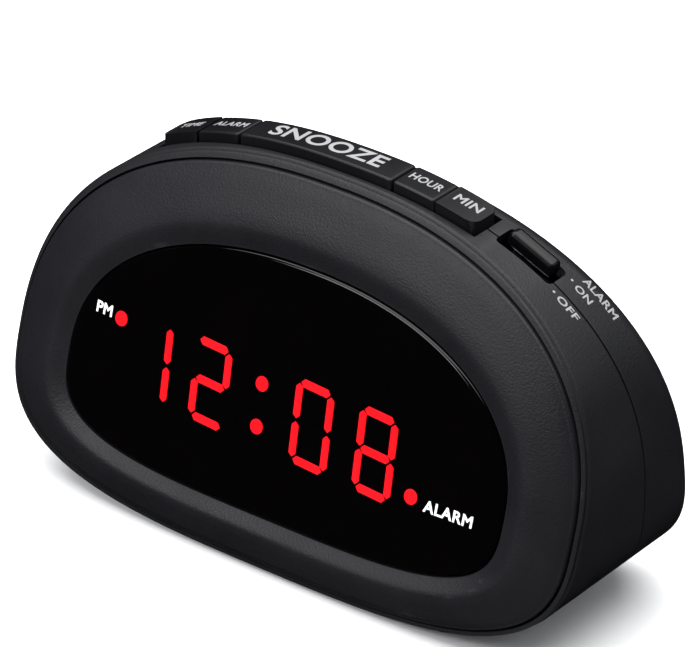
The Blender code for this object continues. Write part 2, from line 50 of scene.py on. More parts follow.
CASE_HALF_WIDTH, CASE_MIDDLE, CASE_UP, CASE_DOWN = 64.8, 27.0, 45.3, 26.0
CASE_FLOOR, WALL = 1.0, 2.0
UPPER_POWER, LOWER_POWER = 2.3, 3.15
BEZEL_HALF_WIDTH, BEZEL_UP, BEZEL_DOWN = 63.1, 43.3, 25.1
LENS_HALF_WIDTH, LENS_MIDDLE, LENS_UP, LENS_DOWN = 49.75, 27.5, 28.9, 16.3
LENS_UPPER_POWER, LENS_LOWER_POWER = 2.2, 3.5
FRONT_LEAN, BACK_LEAN = math.radians(17.0), math.radians(8.0)
PARTING, BACK_AT_FLOOR, BACK_CORNER, DEPTH_MIDDLE = 27.0, 45.6, 4.0, 22.10

BUTTON_EDGES = (-42.6, -33.7, -23.9, 11.0, 20.5, 29.2)
BUTTON_NAMES = ("time_button", "alarm_button", "snooze_button", "hour_button", "minute_button")
BUTTON_FRONT, BUTTON_BACK = 23.4, 30.9
BUTTON_PROUD, BUTTON_SKIRT, BUTTON_SEAM, BUTTON_STEM = 2.0, 1.2, 0.35, 27.4
END_CORNER, CAP_ROUNDING = 2.2, 0.5
STEM_SIDE, STEM_FOOT = 2.4, 62.85

SWITCH_LEFT, SWITCH_RIGHT, SWITCH_FRONT, SWITCH_BACK = 32.0, 44.0, 25.6, 31.2
KNOB_LENGTH, KNOB_CENTRE, KNOB_DEPTH, KNOB_PROUD = 10.5, -0.25, 3.1, 1.8

BAY_CENTRE, BAY_SIZE, DOOR_SIZE = (-18.0, 27.0), (48.0, 23.0, 11.5), (50.0, 25.6, 1.6)
CASE_SCREWS = ((-55.0, 20.0), (55.0, 20.0), (-47.5, 54.0), (47.5, 54.0))
SCREW_HOLE, SCREW_RECESS, SCREW_SEAT = 1.6, 2.9, 33.4
PILLAR_RADIUS, LOW_PILLAR, HIGH_PILLAR = 3.9, 14.0, 9.6
FEET = ((-37.0, 7.0), (37.0, 7.0), (-37.0, 34.0), (37.0, 34.0))
FOOT_RECESS_RADIUS, FOOT_RECESS_LENGTH, FOOT_RECESS_LEVEL = 4.3, 6.4, 0.2
INLET, INLET_HOLE, INLET_BORE = (-50.5, 10.5), 3.2, 1.9
VENT_SIZE, VENT_FIRST, VENT_STEP, VENT_COUNT = (15.0, 1.3, 8.0), (-24.0, 41.0), 2.6, 5
GRIP_SIZE, GRIP_FIRST, GRIP_STEP, GRIP_COUNT = (12.0, 1.1, 1.0), 5.6, 2.2, 3

EDGE_EASE = ((0.0, 0.18), (0.05, 0.05), (0.18, 0.0))
RIM_ROUNDING, BEZEL_SEAT, PLATE_BACK = 0.55, -1.0, -2.8
LIP_INSET, LIP_LENGTH = 0.9, 2.0
TONGUE_INSET, TONGUE_LENGTH = 1.2, 1.8
LENS_SEAT, LENS_ROUNDING = 1.1, 0.65

LENS_FACE = 3.05
DIGIT_HALF_HEIGHT, DIGIT_HALF_WIDTH, BAR_HALF = 7.1, 3.6, 0.78
DIGIT_SLANT, DIGIT_TILT = -0.08, -0.06
DIGITS = ((-30.8, 30.4, "bc"), (-16.9, 30.1, "abdeg"), (6.7, 29.5, "abcdef"), (21.2, 29.1, "abcdefg"))
DOTS = ((-5.6, 33.7), (-5.1, 25.7), (-39.2, 35.5), (30.3, 24.2))
BAR_GAP, BAR_POINT, DOT_RADIUS = 0.28, 0.85, 1.42
LIT_FOOT, LIT_SHOULDER, LIT_TOP = -0.03, 0.02, 0.045
PRINT_WEIGHT, PRINT_RISE, PRINT_SPACING = 0.022, 0.012, 1.06

collection = bpy.context.scene.collection


# ---------------------------------------------------------------- materials


def node(tree, kind, **values):
    made = tree.nodes.new(kind)
    for key, value in values.items():
        if hasattr(made, key):
            setattr(made, key, value)
        else:
            made.inputs[key.replace("_", " ")].default_value = value
    return made


def noise(tree, coordinates, scale, detail=3.0, rough=0.55):
    made = node(tree, "ShaderNodeTexNoise")
    made.inputs["Scale"].default_value = scale
    made.inputs["Detail"].default_value = detail
    made.inputs["Roughness"].default_value = rough
    tree.links.new(coordinates, made.inputs["Vector"])
    return made.outputs["Fac"]


def spread(tree, value, low, high, from_low=0.3, from_high=0.7):
    made = node(tree, "ShaderNodeMapRange")
    made.inputs["From Min"].default_value = from_low
    made.inputs["From Max"].default_value = from_high
    made.inputs["To Min"].default_value = low
    made.inputs["To Max"].default_value = high
    tree.links.new(value, made.inputs["Value"])
    return made.outputs["Result"]


def mix_colour(tree, share, a, b):
    made = node(tree, "ShaderNodeMix", data_type="RGBA")
    tree.links.new(share, made.inputs["Factor"])
    for socket, colour in ((6, a), (7, b)):
        if isinstance(colour, bpy.types.NodeSocket):
            tree.links.new(colour, made.inputs[socket])
        else:
            made.inputs[socket].default_value = (*colour, 1.0)
    return made.outputs[2]


def shaded(colour, factor):
    return tuple(min(c * factor, 1.0) for c in colour)


def finish(name, colour, roughness, metallic=0.0, grain=1800.0, bump=0.3, height=0.00004, tone=0.16,
           spread_rough=0.07, wear=0.0, specular=0.5, coat=0.0, emission=None):
    """A moulded, cast or printed surface: clouded tone, broken gloss, fine grain and lighter worn edges."""
    made = bpy.data.materials.new(name)
    made.use_nodes = True
    tree = made.node_tree
    shader = tree.nodes["Principled BSDF"]
    shader.inputs["Metallic"].default_value = metallic
    shader.inputs["Specular IOR Level"].default_value = specular
    shader.inputs["Coat Weight"].default_value = coat
    shader.inputs["Coat Roughness"].default_value = 0.06
    where = node(tree, "ShaderNodeTexCoord").outputs["Object"]
    clouds = noise(tree, where, 45.0)
    fine = noise(tree, where, grain, 2.0, 0.6)
    cloud_share = spread(tree, clouds, 0.0, 1.0)
    base = mix_colour(tree, cloud_share, shaded(colour, 1 - tone), shaded(colour, 1 + tone))
    specks = mix_colour(tree, spread(tree, fine, 0.0, 0.5, 0.45, 0.75), base, shaded(colour, 1 + 3 * tone))
    if wear:
        edges = node(tree, "ShaderNodeNewGeometry").outputs["Pointiness"]
        worn = spread(tree, edges, 0.0, wear, 0.53, 0.62)
        specks = mix_colour(tree, worn, specks, tuple(min(c * 2.2 + 0.02, 1.0) for c in colour))
    tree.links.new(specks, shader.inputs["Base Color"])
    gloss = spread(tree, clouds, roughness - spread_rough, roughness + spread_rough)
    tree.links.new(gloss, shader.inputs["Roughness"])
    relief = node(tree, "ShaderNodeBump")
    relief.inputs["Strength"].default_value = bump
    relief.inputs["Distance"].default_value = height
    tree.links.new(fine, relief.inputs["Height"])
    tree.links.new(relief.outputs["Normal"], shader.inputs["Normal"])
    # Emission: real light for the LED bars and dots; on the white print it is a painted glow, as that print
    # is no lamp.
    if emission:
        light, strength = emission
        tint = mix_colour(tree, spread(tree, clouds, 0.0, 1.0), shaded(light, 0.86), light)
        tree.links.new(tint, shader.inputs["Emission Color"])
        shader.inputs["Emission Strength"].default_value = strength
    return made


CASE = finish("case_grain", (0.0075, 0.0075, 0.0092), 0.45, bump=1.0, height=0.00008, wear=0.25,
              grain=2300.0, specular=0.22)
BAND = finish("bezel_grain", (0.0075, 0.0075, 0.0094), 0.43, bump=1.0, height=0.00007, wear=0.2,
              grain=2500.0, specular=0.24)
BUTTON = finish("button_satin", (0.0045, 0.0045, 0.0056), 0.36, bump=0.4, wear=0.3,
                grain=2000.0, specular=0.2)
KNOB = finish("knob_gloss", (0.002, 0.002, 0.0025), 0.3, bump=0.1, wear=0.3, grain=1600.0, specular=0.2)
LENS = finish("smoked_acrylic", (0.0008, 0.0006, 0.0007), 0.055, bump=0.02, grain=300.0, spread_rough=0.015,
              specular=0.22, height=0.00001)
PRINT = finish("silver_print", (0.24, 0.24, 0.245), 0.55, bump=0.2, tone=0.1, grain=4000.0,
               height=0.00001, specular=0.2)
# Painted glow: the white PM and ALARM print on the lens is given emission, so it glows though it is no lamp.
WHITE_PRINT_PAINTED_GLOW = finish("white_print_painted_glow", (0.80, 0.80, 0.82), 0.5, bump=0.2, tone=0.06, grain=4000.0,
                     height=0.00001, emission=((0.9, 0.9, 0.92), 0.35))
LIT = finish("lit_bar", (0.25, 0.0, 0.002), 0.4, bump=0.05, tone=0.1, grain=900.0, specular=0.1,
             emission=((1.0, 0.0035, 0.009), 1.1))
RUBBER = finish("foot_rubber_grain", (0.009, 0.009, 0.009), 0.82, bump=0.6, wear=0.3, grain=1500.0)
STEEL = finish("zinc_steel", (0.55, 0.55, 0.57), 0.3, metallic=1.0, bump=0.2, tone=0.1, wear=0.3)
BOARD = finish("green_board", (0.02, 0.11, 0.045), 0.4, bump=0.3, coat=0.3, grain=900.0)
SWITCH = finish("switch_nylon", (0.045, 0.045, 0.047), 0.5, wear=0.3)
REFLECTOR = finish("reflector_grey", (0.10, 0.10, 0.105), 0.55, wear=0.2)
FILM = finish("red_film", (0.3, 0.008, 0.01), 0.3, bump=0.05, grain=500.0)
CHIP = finish("chip_epoxy", (0.02, 0.02, 0.021), 0.6, bump=0.5, grain=2500.0)
SLEEVE = finish("capacitor_film", (0.012, 0.02, 0.07), 0.25, bump=0.05, coat=0.4)
BUZZER = finish("buzzer_shell", (0.022, 0.022, 0.022), 0.4, wear=0.3)
CORE = finish("core_laminations", (0.2, 0.2, 0.21), 0.45, metallic=0.8, bump=0.6, grain=1200.0)
TAPE = finish("coil_tape_yellow", (0.55, 0.4, 0.04), 0.3, bump=0.1, coat=0.3)

SLOT_FINISH = {
    "case_plastic": CASE, "bezel_plastic": BAND, "button_plastic": BUTTON, "knob_plastic": KNOB,
    "lens_plastic": LENS, "foot_rubber": RUBBER, "steel": STEEL, "board_laminate": BOARD,
    "switch_plastic": SWITCH, "reflector_plastic": REFLECTOR, "diffuser_film": FILM, "chip_plastic": CHIP,
    "capacitor_sleeve": SLEEVE, "buzzer_plastic": BUZZER, "core_steel": CORE, "coil_tape": TAPE,
}
NODE_SLOT = {entry["node"]: entry["material_slot"] for entry in frame["record"]["subparts"]}

for name, cad_node in frame["nodes"].items():
    for place in cad_node.material_slots:
        place.material = SLOT_FINISH[NODE_SLOT[name]]


# ---------------------------------------------------------------- frames and outlines


def plane_frame(origin, u, v, w):
    made = Matrix.Identity(4)
    for column, axis in enumerate((u, v, w)):
        for row in range(3):
            made[row][column] = axis[row]
        made[column][3] = origin[column] * MM
    return made


def front_frame():
    s, c = math.sin(FRONT_LEAN), math.cos(FRONT_LEAN)
    return plane_frame((0, -DEPTH_MIDDLE, CASE_FLOOR), (1, 0, 0), (0, s, c), (0, -c, s))


def back_frame():
    s, c = math.sin(BACK_LEAN), math.cos(BACK_LEAN)
    origin = (0, BACK_AT_FLOOR - DEPTH_MIDDLE, CASE_FLOOR)
    return plane_frame(origin, (-1, 0, 0), (0, -s, c), (0, c, s))


def along_depth():
    return plane_frame((0, 0, 0), (1, 0, 0), (0, 0, 1), (0, -1, 0))


def depth(distance):
    return distance - DEPTH_MIDDLE


def front_depth(z, proud):
    return depth((z - CASE_FLOOR) * math.tan(FRONT_LEAN) - proud / math.cos(FRONT_LEAN))


def back_depth(z, inside=0.0):
    return depth(BACK_AT_FLOOR - (z - CASE_FLOOR) * math.tan(BACK_LEAN) - inside)


def superellipse(half_width, middle, up, upper_power, down, lower_power):
    points = []
    for i in range(SEGMENTS):
        angle = 2 * math.pi * i / SEGMENTS
        c, s = math.cos(angle), math.sin(angle)
        power, reach = (upper_power, up) if s >= 0 else (lower_power, down)
        x = half_width * math.copysign(abs(c) ** (2 / power), c)
        points.append((x, middle + reach * math.copysign(abs(s) ** (2 / power), s)))
    return points


def case_outline(inset):
    sizes = (CASE_HALF_WIDTH - inset, CASE_MIDDLE, CASE_UP - inset)
    return superellipse(*sizes, UPPER_POWER, CASE_DOWN - inset, LOWER_POWER)


def bezel_outline(inset):
    sizes = (BEZEL_HALF_WIDTH - inset, CASE_MIDDLE, BEZEL_UP - inset)
    return superellipse(*sizes, UPPER_POWER, BEZEL_DOWN - inset, LOWER_POWER)


def lens_outline(inset):
    sizes = (LENS_HALF_WIDTH - inset, LENS_MIDDLE, LENS_UP - inset)
    return superellipse(*sizes, LENS_UPPER_POWER, LENS_DOWN - inset, LENS_LOWER_POWER)


def mixed_outline(share):
    pairs = zip(bezel_outline(0.5), lens_outline(-GAP))
    return [tuple(a + (b - a) * share for a, b in zip(*pair)) for pair in pairs]


def case_top(x, proud=0.0):
    across = min(abs(x) / (CASE_HALF_WIDTH + proud), 1.0)
    return CASE_MIDDLE + (CASE_UP + proud) * (1 - across**UPPER_POWER) ** (1 / UPPER_POWER)


def on_front(outline, proud):
    return [Vector((x, front_depth(z, proud), z)) for x, z in outline]


def upright(outline, distance):
    return [Vector((x, depth(distance), z)) for x, z in outline]


def on_back(outline, inside):
    return [Vector((x, back_depth(z, inside), z)) for x, z in outline]


def smooth_profile(knots, steps):
    """Points along a Catmull-Rom curve through (share, height) knots."""
    ends = [knots[0], *knots, knots[-1]]
    points = []
    for i in range(1, len(ends) - 2):
        p0, p1, p2, p3 = ends[i - 1 : i + 3]
        for k in range(steps):
            t = k / steps
            point = []
            for a, b, c, d in zip(p0, p1, p2, p3):
                bend, twist = 2 * a - 5 * b + 4 * c - d, 3 * b - a - 3 * c + d
                point.append(0.5 * (2 * b + (c - a) * t + bend * t**2 + twist * t**3))
            points.append(tuple(point))
    points.append(knots[-1])
    return points


def quarter(radius, steps):
    """Inset and drop along a quarter-round edge, from its side to its top."""
    for i in range(steps + 1):
        angle = math.pi / 2 * i / steps
        yield radius * (1 - math.cos(angle)), radius * (1 - math.sin(angle))


# ---------------------------------------------------------------- makers


def add_piece(name, mesh, surface=None, smooth=35.0):
    obj = bpy.data.objects.new(name, mesh)
    collection.objects.link(obj)
    if surface:
        mesh.materials.clear()
        mesh.materials.append(surface)
        mesh.shade_smooth()
        mesh.set_sharp_from_angle(angle=math.radians(smooth))
    return obj


def mesh_from(bm, name):
    bmesh.ops.recalc_face_normals(bm, faces=bm.faces)
    mesh = bpy.data.meshes.new(name)
    bm.to_mesh(mesh)
    bm.free()
    return mesh


def loft(name, rings, surface=None, ends="joined", smooth=35.0):
    bm = bmesh.new()
    loops = [[bm.verts.new(p * MM) for p in ring] for ring in rings]
    pairs = list(zip(loops, loops[1:]))
    if ends == "joined":
        pairs.append((loops[-1], loops[0]))
    else:
        bm.faces.new(loops[0])
        bm.faces.new(loops[-1])
    for low, high in pairs:
        for i in range(len(low)):
            j = (i + 1) % len(low)
            bm.faces.new((low[i], low[j], high[j], high[i]))
    return add_piece(name, mesh_from(bm, name), surface, smooth)


def block(size, centre, around=Matrix.Identity(4), rounding=0.0, steps=3):
    """A box, its edges rounded if asked."""
    bm = bmesh.new()
    bmesh.ops.create_cube(bm, size=1.0)
    bmesh.ops.scale(bm, vec=Vector(size) * MM, verts=bm.verts)
    if rounding:
        bmesh.ops.bevel(
            bm, geom=bm.edges[:], offset=rounding * MM, segments=steps, profile=0.5, affect="EDGES"
        )
    obj = add_piece("tool", mesh_from(bm, "tool"))
    obj.matrix_world = around @ Matrix.Translation(Vector(centre) * MM)
    return obj


def rod(radius, length, centre, around=Matrix.Identity(4), sides=64):
    bm = bmesh.new()
    bmesh.ops.create_cone(
        bm, cap_ends=True, segments=sides, radius1=radius * MM, radius2=radius * MM, depth=length * MM
    )
    obj = add_piece("tool", mesh_from(bm, "tool"))
    obj.matrix_world = around @ Matrix.Translation(Vector(centre) * MM)
    return obj


def turned(profile, centre, around=Matrix.Identity(4), sides=64):
    """A solid turned about the frame's third axis from (radius, height) points, closed at both ends."""
    bm = bmesh.new()
    loops = []
    angles = [2 * math.pi * i / sides for i in range(sides)]
    for radius, height in profile:
        reach, level = radius * MM, height * MM
        loops.append([bm.verts.new((reach * math.cos(a), reach * math.sin(a), level)) for a in angles])
    bm.faces.new(loops[0])
    bm.faces.new(loops[-1])
    for low, high in zip(loops, loops[1:]):
        for i in range(sides):
            j = (i + 1) % sides
            bm.faces.new((low[i], low[j], high[j], high[i]))
    obj = add_piece("tool", mesh_from(bm, "tool"))
    obj.matrix_world = around @ Matrix.Translation(Vector(centre) * MM)
    return obj


def evaluated_mesh(obj):
    bpy.context.view_layer.update()
    graph = bpy.context.evaluated_depsgraph_get()
    return bpy.data.meshes.new_from_object(obj.evaluated_get(graph))


def carve(target, joins, cuts, surface, smooth=35.0, rounding=0.0):
    """Joins and cuts other shapes, then keeps the result as the target's own mesh."""
    tools = [(tool, "UNION") for tool in joins] + [(tool, "DIFFERENCE") for tool in cuts]
    for tool, operation in tools:
        modifier = target.modifiers.new("carve", "BOOLEAN")
        modifier.object = tool
        modifier.operation = operation
        modifier.solver = "EXACT"
    if rounding:
        modifier = target.modifiers.new("edges", "BEVEL")
        modifier.width = rounding * MM
        modifier.segments = 3
        modifier.limit_method = "ANGLE"
        modifier.angle_limit = math.radians(40)
    mesh = evaluated_mesh(target)
    mesh.transform(target.matrix_world)
    target.matrix_world = Matrix.Identity(4)
    target.modifiers.clear()
    old = target.data
    target.data = mesh
    bpy.data.meshes.remove(old)
    mesh.materials.clear()
    mesh.materials.append(surface)
    mesh.shade_smooth()
    mesh.set_sharp_from_angle(angle=math.radians(smooth))
    for tool, _ in tools:
        if tool.name in bpy.data.objects:
            bpy.data.objects.remove(tool, do_unlink=True)
    weigh_normals(target)
    return target


def weigh_normals(obj):
    modifier = obj.modifiers.new("even_shading", "WEIGHTED_NORMAL")
    modifier.keep_sharp = True
    modifier.weight = 90


def settle(obj, body, cad_node=None):
    """The piece rides on its body and, where it stands for a CAD node, hides it."""
    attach(obj, body)
    if cad_node:
        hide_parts(cad_node)
    return obj


# ---------------------------------------------------------------- case


def arch_strip(left, right, high, low, steps):
    spots = [left + (right - left) * i / steps for i in range(steps + 1)]
    top = [(x, case_top(x, high)) for x in spots]
    return top + [(x, case_top(x, -low)) for x in reversed(spots)]


def prism(name, outline, front, back):
    return loft(name, [upright(outline, distance) for distance in (front, back)], None, "capped")


def button_window():
    left, right = BUTTON_EDGES[0] - BUTTON_SEAM, BUTTON_EDGES[-1] + BUTTON_SEAM
    outline = arch_strip(left, right, 4.0, WALL + 0.8, 40)
    return prism("window", outline, BUTTON_FRONT - 0.35, BUTTON_BACK + 0.45)


def shoulder_frame():
    left, right = case_top(SWITCH_LEFT), case_top(SWITCH_RIGHT)
    slope = math.atan2(left - right, SWITCH_RIGHT - SWITCH_LEFT)
    origin = ((SWITCH_LEFT + SWITCH_RIGHT) / 2, depth((SWITCH_FRONT + SWITCH_BACK) / 2), (left + right) / 2)
    u, w = (math.cos(slope), 0, -math.sin(slope)), (math.sin(slope), 0, math.cos(slope))
    return plane_frame(origin, u, (0, 1, 0), w)


def switch_length():
    return math.hypot(SWITCH_RIGHT - SWITCH_LEFT, case_top(SWITCH_LEFT) - case_top(SWITCH_RIGHT))


def switch_slot():
    size = (switch_length(), SWITCH_BACK - SWITCH_FRONT, 9.0)
    return block(size, (0, 0, 0), shoulder_frame(), 1.0, 4)


def foot_recesses(in_front):
    found = []
    for x, distance in FEET:
        if (distance < PARTING) == in_front:
            place = (x, depth(distance), FOOT_RECESS_LEVEL)
            found.append(rod(FOOT_RECESS_RADIUS, FOOT_RECESS_LENGTH, place))
    return found


def front_shell():
    seam = PARTING - GAP / 2
    rings = [upright(case_outline(inset), seam - back) for inset, back in reversed(EDGE_EASE)]
    rings += [on_front(case_outline(inset), -drop) for inset, drop in quarter(RIM_ROUNDING, 6)]
    rings += [
        on_front(bezel_outline(-1.2), 0.42),
        on_front(bezel_outline(-0.62), 0.68),
        on_front(bezel_outline(-0.48), 0.68),
        on_front(bezel_outline(-0.37), 0.55),
        on_front(bezel_outline(-0.35), 0.4),
        on_front(bezel_outline(-0.35), BEZEL_SEAT),
        on_front(bezel_outline(3.6), BEZEL_SEAT),
        on_front(bezel_outline(3.6), PLATE_BACK),
        on_front(case_outline(WALL + 0.4), PLATE_BACK),
        upright(case_outline(WALL), seam - LIP_LENGTH),
        upright(case_outline(LIP_INSET), seam - LIP_LENGTH),
        upright(case_outline(LIP_INSET), seam),
    ]
    shell = loft("front_shell", rings)
    carve(shell, [], [button_window(), switch_slot(), *foot_recesses(True)], CASE)
    return settle(shell, "case", "front_housing")


def rear_shell():
    seam = PARTING + GAP / 2
    outer = [on_back(case_outline(inset), drop) for inset, drop in quarter(BACK_CORNER, 14)]
    inner = [
        on_back(case_outline(BACK_CORNER), WALL),
        on_back(case_outline(WALL + 0.6), WALL + 0.6),
        on_back(case_outline(WALL + 0.01), BACK_CORNER),
    ]
    rings = [
        *reversed(outer),
        *[upright(case_outline(inset), seam + back) for inset, back in EDGE_EASE],
        upright(case_outline(TONGUE_INSET), seam),
        upright(case_outline(TONGUE_INSET), seam - TONGUE_LENGTH),
        upright(case_outline(WALL), seam - TONGUE_LENGTH),
        *reversed(inner),
    ]
    shell = loft("rear_shell", rings, None, "capped")
    back = back_frame()
    u, v = -BAY_CENTRE[0], BAY_CENTRE[1]
    width, height, bay_depth = BAY_SIZE
    joins = [block((width + 5.0, height + 5.4, bay_depth + 1.0), (u, v, -(bay_depth + 1.0) / 2 - 0.6), back)]
    for x, z in CASE_SCREWS:
        length = LOW_PILLAR if z < CASE_MIDDLE else HIGH_PILLAR
        joins.append(rod(PILLAR_RADIUS, length, (x, z, -depth(PARTING + GAP + length / 2)), along_depth()))
    rebate = (DOOR_SIZE[0] + 2 * GAP, DOOR_SIZE[1] + 2 * GAP, DOOR_SIZE[2] + GAP + 2.0)
    cuts = [
        block((width, height, bay_depth + 2.0), (u, v, -bay_depth / 2 + 1.0), back, 0.8),
        block(rebate, (u, v, 1.0 - (DOOR_SIZE[2] + GAP) / 2), back),
        rod(INLET_HOLE, 12.0, (*INLET, 0.0), back),
        button_window(),
        switch_slot(),
    ]
    for x, z in CASE_SCREWS:
        cuts.append(rod(SCREW_HOLE, 30.0, (x, z, -depth(40.0)), along_depth()))
        cuts.append(rod(SCREW_RECESS, 20.0, (x, z, -depth(42.0)), along_depth()))
    for index in range(VENT_COUNT):
        place = (VENT_FIRST[0], VENT_FIRST[1] + VENT_STEP * index, 0.0)
        cuts.append(block(VENT_SIZE, place, back, 0.6))
    carve(shell, joins, cuts + foot_recesses(False), CASE)
    return settle(shell, "case", "rear_housing")


def bezel():
    crown = [(0.0, 1.4), (0.1, 2.0), (0.28, 2.72), (0.5, 3.5), (0.64, 3.82), (0.72, 3.84), (0.8, 3.62)]
    crown += [(0.9, 3.18), (0.97, 2.86)]
    back = BEZEL_SEAT + GAP
    rings = [on_front(bezel_outline(0.0), back), on_front(bezel_outline(0.0), 0.9)]
    rings += [on_front(bezel_outline(inset), 1.4 - drop) for inset, drop in quarter(0.5, 6)][1:-1]
    rings += [on_front(mixed_outline(share), proud) for share, proud in smooth_profile(crown, 5)]
    rings += [
        on_front(lens_outline(-GAP - 0.08), 2.8),
        on_front(lens_outline(-GAP), 2.7),
        on_front(lens_outline(-GAP), LENS_SEAT),
        on_front(lens_outline(2.0), LENS_SEAT),
        on_front(lens_outline(2.0), back),
        on_front(lens_outline(-1.6), back),
        on_front(lens_outline(-1.9), 0.9),
        on_front(bezel_outline(4.8), 0.3),
        on_front(bezel_outline(4.5), back),
    ]
    ring = loft("bezel_ring", rings, BAND)
    weigh_normals(ring)
    return settle(ring, "case", "front_bezel")


def lens():
    rings = [on_front(lens_outline(0.0), LENS_SEAT + GAP), on_front(lens_outline(0.0), 2.4)]
    rings += [on_front(lens_outline(inset), LENS_FACE - drop) for inset, drop in quarter(LENS_ROUNDING, 7)]
    window = loft("smoked_lens", rings, LENS, "capped")
    weigh_normals(window)
    return settle(window, "case", "display_lens")


# ---------------------------------------------------------------- controls


def end_plan(left, right):
    """Rounds an end cap's two outer corners, seen from above."""
    outer, inner = (left, right + 4.0) if left < 0 else (right, left - 4.0)
    size = (abs(outer - inner), BUTTON_BACK - BUTTON_FRONT, 30.0)
    bm = bmesh.new()
    bmesh.ops.create_cube(bm, size=1.0)
    bmesh.ops.scale(bm, vec=Vector(size) * MM, verts=bm.verts)
    upright_edges = [e for e in bm.edges if abs(e.verts[0].co.z - e.verts[1].co.z) > 10 * MM]
    bmesh.ops.bevel(
        bm, geom=upright_edges, offset=END_CORNER * MM, segments=12, profile=0.5, affect="EDGES"
    )
    plan = add_piece("plan", mesh_from(bm, "plan"))
    middle = (outer + inner) / 2
    plan.location = Vector((middle, depth((BUTTON_FRONT + BUTTON_BACK) / 2), case_top(middle))) * MM
    return plan


def keep_inside(target, tool):
    modifier = target.modifiers.new("keep", "BOOLEAN")
    modifier.object = tool
    modifier.operation = "INTERSECT"
    modifier.solver = "EXACT"
    mesh = evaluated_mesh(target)
    target.modifiers.clear()
    target.data = mesh
    bpy.data.objects.remove(tool, do_unlink=True)


def caps():
    for index, name in enumerate(BUTTON_NAMES):
        left, right = BUTTON_EDGES[index], BUTTON_EDGES[index + 1]
        left += BUTTON_SEAM / 2 if index else 0.0
        right -= BUTTON_SEAM / 2 if index < len(BUTTON_NAMES) - 1 else 0.0
        outline = arch_strip(left, right, BUTTON_PROUD, BUTTON_SKIRT, 24 if right - left > 20 else 10)
        cap = prism(name.replace("button", "cap"), outline, BUTTON_FRONT, BUTTON_BACK)
        if index in (0, len(BUTTON_NAMES) - 1):
            keep_inside(cap, end_plan(left, right))
        carve(cap, [], [], BUTTON, rounding=CAP_ROUNDING)
        middle = (left + right) / 2
        head = case_top(middle) - 0.6
        size = (STEM_SIDE, STEM_SIDE, head - STEM_FOOT)
        stem = block(size, (middle, depth(BUTTON_STEM), (head + STEM_FOOT) / 2), rounding=0.2)
        carve(cap, [stem], [], BUTTON)
        settle(cap, name, name)


def knob():
    around = shoulder_frame()
    rest = (SWITCH_BACK - SWITCH_FRONT) / 2 - 0.15 - KNOB_DEPTH / 2
    size = (KNOB_LENGTH, KNOB_DEPTH, KNOB_PROUD + 1.4)
    slider = block(size, (KNOB_CENTRE, rest, (KNOB_PROUD - 1.4) / 2), around, 1.0, 8)
    slider.name = "switch_slider"
    carve(slider, [block((2.4, 1.6, 4.0), (KNOB_CENTRE, rest, -3.2), around)], [], KNOB)
    settle(slider, "alarm_switch_knob", "alarm_switch_knob")


def door():
    width, height, thickness = DOOR_SIZE
    radius = thickness / 2
    around = back_frame() @ Matrix.Translation(
        Vector((-BAY_CENTRE[0], BAY_CENTRE[1] - height / 2 + radius, -radius)) * MM
    )
    arc = [(math.pi / 2 + math.pi * i / 16) for i in range(17)]
    outline = [(height - radius - 0.25, radius)]
    outline += [(radius * math.cos(a), radius * math.sin(a)) for a in arc]
    outline += [(height - radius, -radius), (height - radius, radius - 0.25)]
    rings = [[Vector((u, v, w)) for v, w in outline] for u in (-width / 2, width / 2)]
    leaf = loft("battery_cover", rings, None, "capped")
    leaf.matrix_world = around
    grips = []
    length, thick, deep = GRIP_SIZE
    for k in range(GRIP_COUNT):
        place = (0.0, height - GRIP_FIRST - GRIP_STEP * k, radius + 0.1)
        grips.append(block((length - 2 * k, thick, deep), place, around, 0.3))
    carve(leaf, [], grips, CASE)
    settle(leaf, "battery_door", "battery_door")


# ---------------------------------------------------------------- small parts


def feet():
    profile = [(3.4, 0.0), (3.75, 0.12), (3.95, 0.4), (4.0, 0.8), (4.0, 3.1)]
    profile = [(2.6, 0.35), (2.8, 0.1), (3.0, 0.0), *profile]
    for index, (x, distance) in enumerate(FEET, 1):
        pad = turned(profile, (x, depth(distance), 0.0))
        pad.name = f"rubber_pad_{index}"
        carve(pad, [], [], RUBBER)
        settle(pad, "case", f"rubber_foot_{index}")


def screws():
    profile = [(1.2, -12.2), (1.2, -0.9), (2.5, -0.9), (2.5, 0.2), (2.3, 0.55), (1.7, 0.82), (0.9, 0.9)]
    middle = -depth(SCREW_SEAT)
    for index, (x, z) in enumerate(CASE_SCREWS, 1):
        head = turned([(r, -h) for r, h in profile], (x, z, middle), along_depth(), 48)
        head.name = f"screw_head_{index}"
        cross = [
            block((3.0, 0.62, 1.5), (x, z, middle - 1.0), along_depth(), 0.1),
            block((0.62, 3.0, 1.5), (x, z, middle - 1.0), along_depth(), 0.1),
        ]
        carve(head, [], cross, STEEL)
        settle(head, "case", f"case_screw_{index}")


def bush():
    profile = [(2.9, -4.1), (2.9, GAP), (4.1, GAP), (4.3, GAP + 0.3), (4.3, GAP + 0.8), (4.0, GAP + 1.1)]
    collar = turned([*profile, (2.4, GAP + 1.1)], (*INLET, 0.0), back_frame())
    collar.name = "inlet_collar"
    carve(collar, [], [rod(INLET_BORE, 14.0, (*INLET, 0.0), back_frame())], RUBBER)
    settle(collar, "case", "cord_inlet_bush")


# ---------------------------------------------------------------- digits and print


